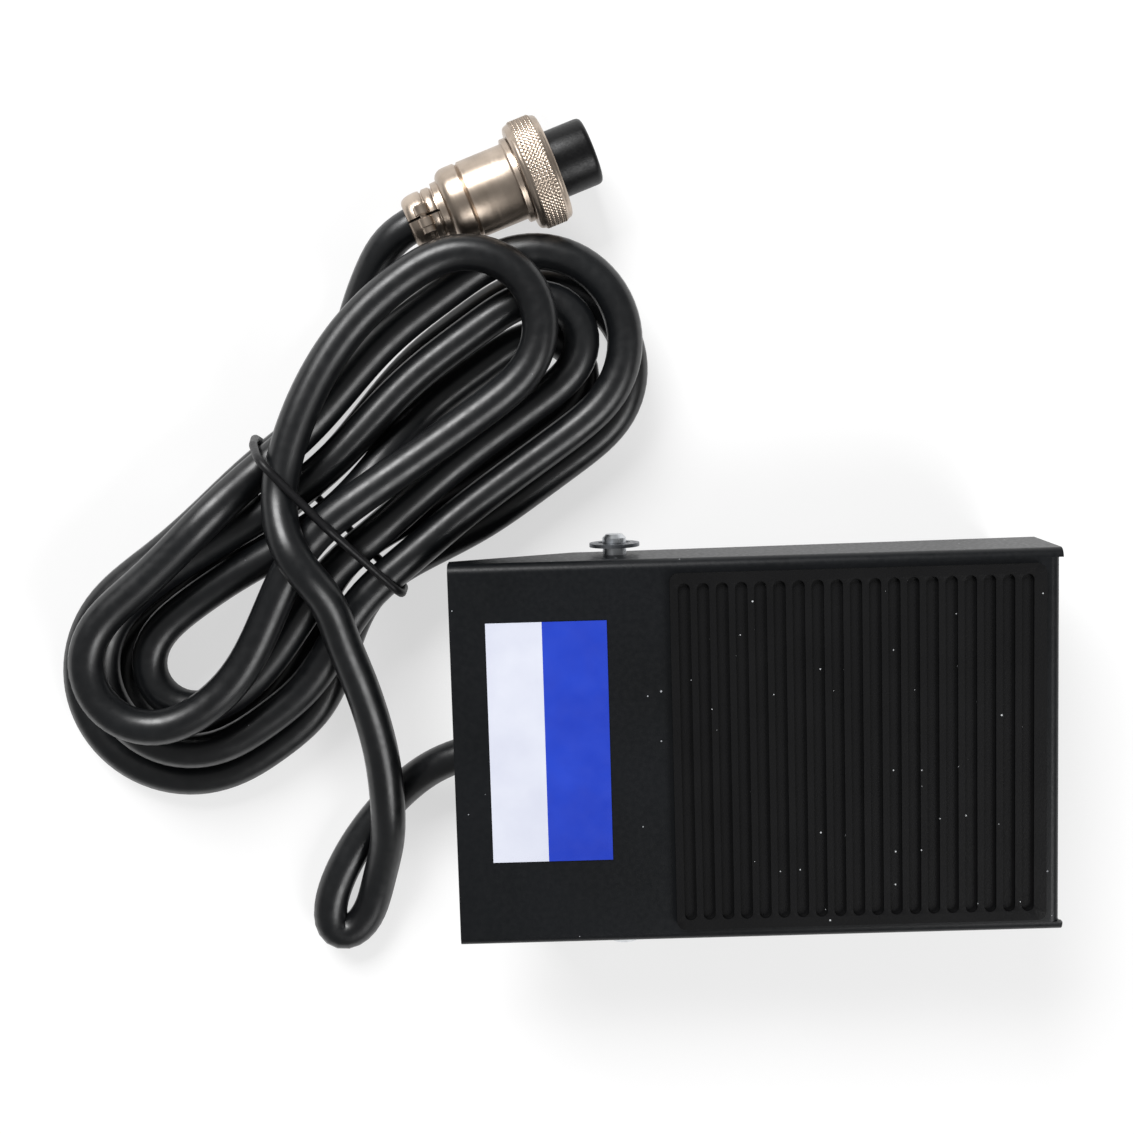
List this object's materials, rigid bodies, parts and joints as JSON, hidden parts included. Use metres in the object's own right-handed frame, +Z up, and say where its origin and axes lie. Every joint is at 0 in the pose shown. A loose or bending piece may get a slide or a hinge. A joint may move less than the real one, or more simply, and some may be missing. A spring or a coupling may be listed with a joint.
{
  "type": "industrial foot switch",
  "caption": "Low steel foot switch: a ribbed-tread pedal hinged over a base tray with a lever microswitch, on a tied hank of cord with a round screw-coupled plug.",
  "frame": {"origin": "on the floor under the middle of the pedal", "axes": "+X along the pedal towards the tread end (toe), +Y across towards the clipped end of the hinge pin, +Z up"},
  "size_m": [0.168, 0.1449, 0.0296],
  "materials": {
    "black_enamel": "semi-gloss black stoved enamel on sheet steel",
    "tread_rubber": "matt black ribbed rubber",
    "label_foil": "printed foil, blue field with a white band, no print",
    "zinc_steel": "bright zinc plate",
    "lever_steel": "bright stainless strip",
    "spring_steel": "oiled spring wire",
    "nylon": "natural nylon",
    "foot_rubber": "matt black moulded rubber",
    "switch_plastic": "black phenolic moulding",
    "plunger_plastic": "red acetal",
    "contact_brass": "bright brass",
    "wire_blue": "blue wire insulation",
    "wire_red": "red wire insulation",
    "wire_yellow": "yellow wire insulation",
    "cord_rubber": "soft black moulded rubber",
    "clamp_plastic": "grey moulded plastic",
    "cord_pvc": "black PVC sheath, satin sheen",
    "tie_pvc": "black PVC-covered tie wire",
    "nickel": "satin nickel plate on brass",
    "insert_plastic": "black moulded insulator"
  },
  "bodies": {
    "base": {"hinge_pin": "zinc_steel", "e_clip": "zinc_steel", "hinge_bushes": "nylon", "base_tray": "black_enamel", "feet": "foot_rubber", "return_spring": "spring_steel", "spring_post": "nylon", "switch_bracket": "zinc_steel", "bracket_screws": "zinc_steel", "switch_case": "switch_plastic", "switch_cover": "switch_plastic", "switch_screws": "zinc_steel", "switch_nuts": "zinc_steel", "lever_pin": "zinc_steel", "terminal_com": "contact_brass", "terminal_nc": "contact_brass", "terminal_no": "contact_brass", "wire_com": "wire_blue", "wire_nc": "wire_red", "wire_no": "wire_yellow", "cable_grommet": "cord_rubber", "cable_saddle": "clamp_plastic", "cable_strap": "zinc_steel", "clamp_screws": "zinc_steel", "cord_inner": "cord_pvc", "cord_lead": "cord_pvc", "cord_hank": "cord_pvc", "cord_tail": "cord_pvc", "cord_tie": "tie_pvc", "plug_shell": "nickel", "plug_collar": "nickel", "plug_collar_screws": "nickel", "retaining_ring": "lever_steel", "plug_insert": "insert_plastic", "contact_sockets": "contact_brass", "insert_screw": "nickel"},
    "pedal": {"pedal_cover": "black_enamel", "tread_pad": "tread_rubber", "label": "label_foil"},
    "lever": {"switch_lever": "lever_steel"},
    "plunger": {"switch_plunger": "plunger_plastic"},
    "blade": {"contact_blade": "contact_brass"},
    "nut": {"coupling_nut": "nickel"}
  },
  "joints": [
    {"name": "pedal_hinge", "type": "hinge", "parent": "base", "child": "pedal", "pos_m": [-0.0225, 0, 0.015], "axis": [0, 1, 0], "range_deg": [0, 5], "stiffness_Nm_per_rad": 5.5, "springref_deg": -2.18, "deforming": ["return_spring"]},
    {"name": "lever_hinge", "type": "hinge", "parent": "base", "child": "lever", "pos_m": [-0.0055, 0, 0.0212], "axis": [0, 1, 0], "range_deg": [0, 8.9]},
    {"name": "plunger_slide", "type": "slide", "parent": "base", "child": "plunger", "axis": [0, 0, -1], "range_m": [0, 0.0013]},
    {"name": "blade_hinge", "type": "hinge", "parent": "base", "child": "blade", "pos_m": [-0.005, 0, 0.013], "axis": [0, 1, 0], "range_deg": [0, 9.3]},
    {"name": "nut_spin", "type": "hinge", "parent": "base", "child": "nut", "pos_m": [-0.03336, 0.09576, 0.00935], "axis": [0.9367, 0.3502, 0], "continuous": true}
  ],
  "couplings": [
    {"joint": "lever_hinge", "follows": "pedal_hinge", "ratio": 1.7686},
    {"joint": "plunger_slide", "follows": "pedal_hinge", "m_per_rad": 0.014883},
    {"joint": "blade_hinge", "follows": "pedal_hinge", "ratio": 1.8563}
  ]
}
